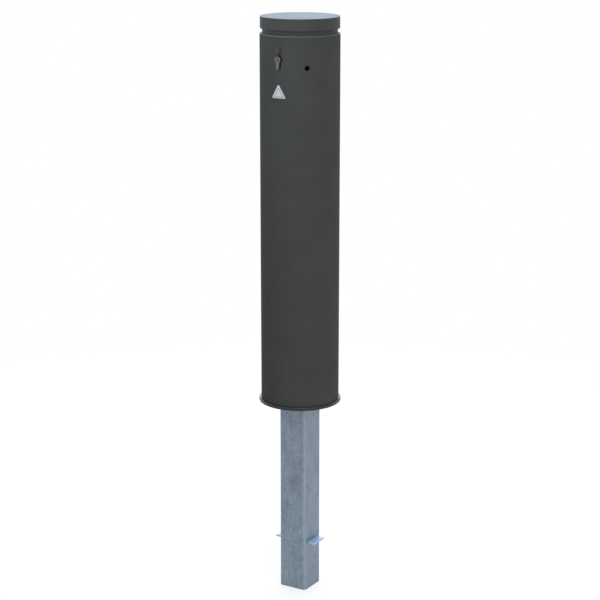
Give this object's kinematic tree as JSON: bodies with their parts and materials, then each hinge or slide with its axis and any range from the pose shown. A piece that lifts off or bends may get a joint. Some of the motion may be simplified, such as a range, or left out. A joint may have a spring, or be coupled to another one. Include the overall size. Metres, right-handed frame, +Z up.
{
  "type": "bollard",
  "caption": "Round steel street bollard with a lift-off lid, shadow gap and cylinder lock with swing cover, on a ground plate and square post with an anchor bar for casting in.",
  "frame": {"origin": "middle of the ground plate's underside, at ground level, on the bollard's axis", "axes": "+Z up along the tube's axis, -Y out of the front with the lock, +X towards the side with the small port"},
  "size_m": [0.215, 0.2169, 1.53],
  "materials": {
    "coated_steel": "matt anthracite powder coat with a fine texture",
    "galvanised_steel": "hot-dip galvanised, mottled blue-grey spangle",
    "zinc_plated_steel": "bright zinc plate",
    "nickel_plate": "satin nickel plate",
    "black_plastic": "matt black",
    "label_film": "pale grey film"
  },
  "bodies": {
    "bollard": {"ground_post": "galvanised_steel", "anchor_bar": "galvanised_steel", "post_weld": "galvanised_steel", "ground_plate": "coated_steel", "base_screws": "zinc_plated_steel", "base_ring": "coated_steel", "outer_tube": "coated_steel", "seat_ring": "coated_steel", "guide_ring": "black_plastic", "lock_carrier": "coated_steel", "lock_cylinder": "nickel_plate", "cylinder_screw": "zinc_plated_steel", "flap_spacer": "zinc_plated_steel", "flap_rivet": "coated_steel", "label_plate": "label_film"},
    "head": {"lid": "coated_steel", "neck_sleeve": "coated_steel", "lid_screws": "zinc_plated_steel", "keeper_hook": "zinc_plated_steel", "keeper_screws": "zinc_plated_steel"},
    "lock_core": {"lock_plug": "nickel_plate", "lock_cam": "zinc_plated_steel"},
    "flap": {"cover_flap": "coated_steel"}
  },
  "joints": [
    {"name": "head_lift", "type": "slide", "parent": "bollard", "child": "head", "axis": [0, 0, 1], "range_m": [0, 0.12]},
    {"name": "plug_turn", "type": "hinge", "parent": "bollard", "child": "lock_core", "pos_m": [0, -0.107, 0.905], "axis": [0, 1, 0], "range_deg": [0, 90]},
    {"name": "flap_swing", "type": "hinge", "parent": "bollard", "child": "flap", "pos_m": [0, -0.108, 0.919], "axis": [0, 1, 0], "range_deg": [0, 180]}
  ]
}
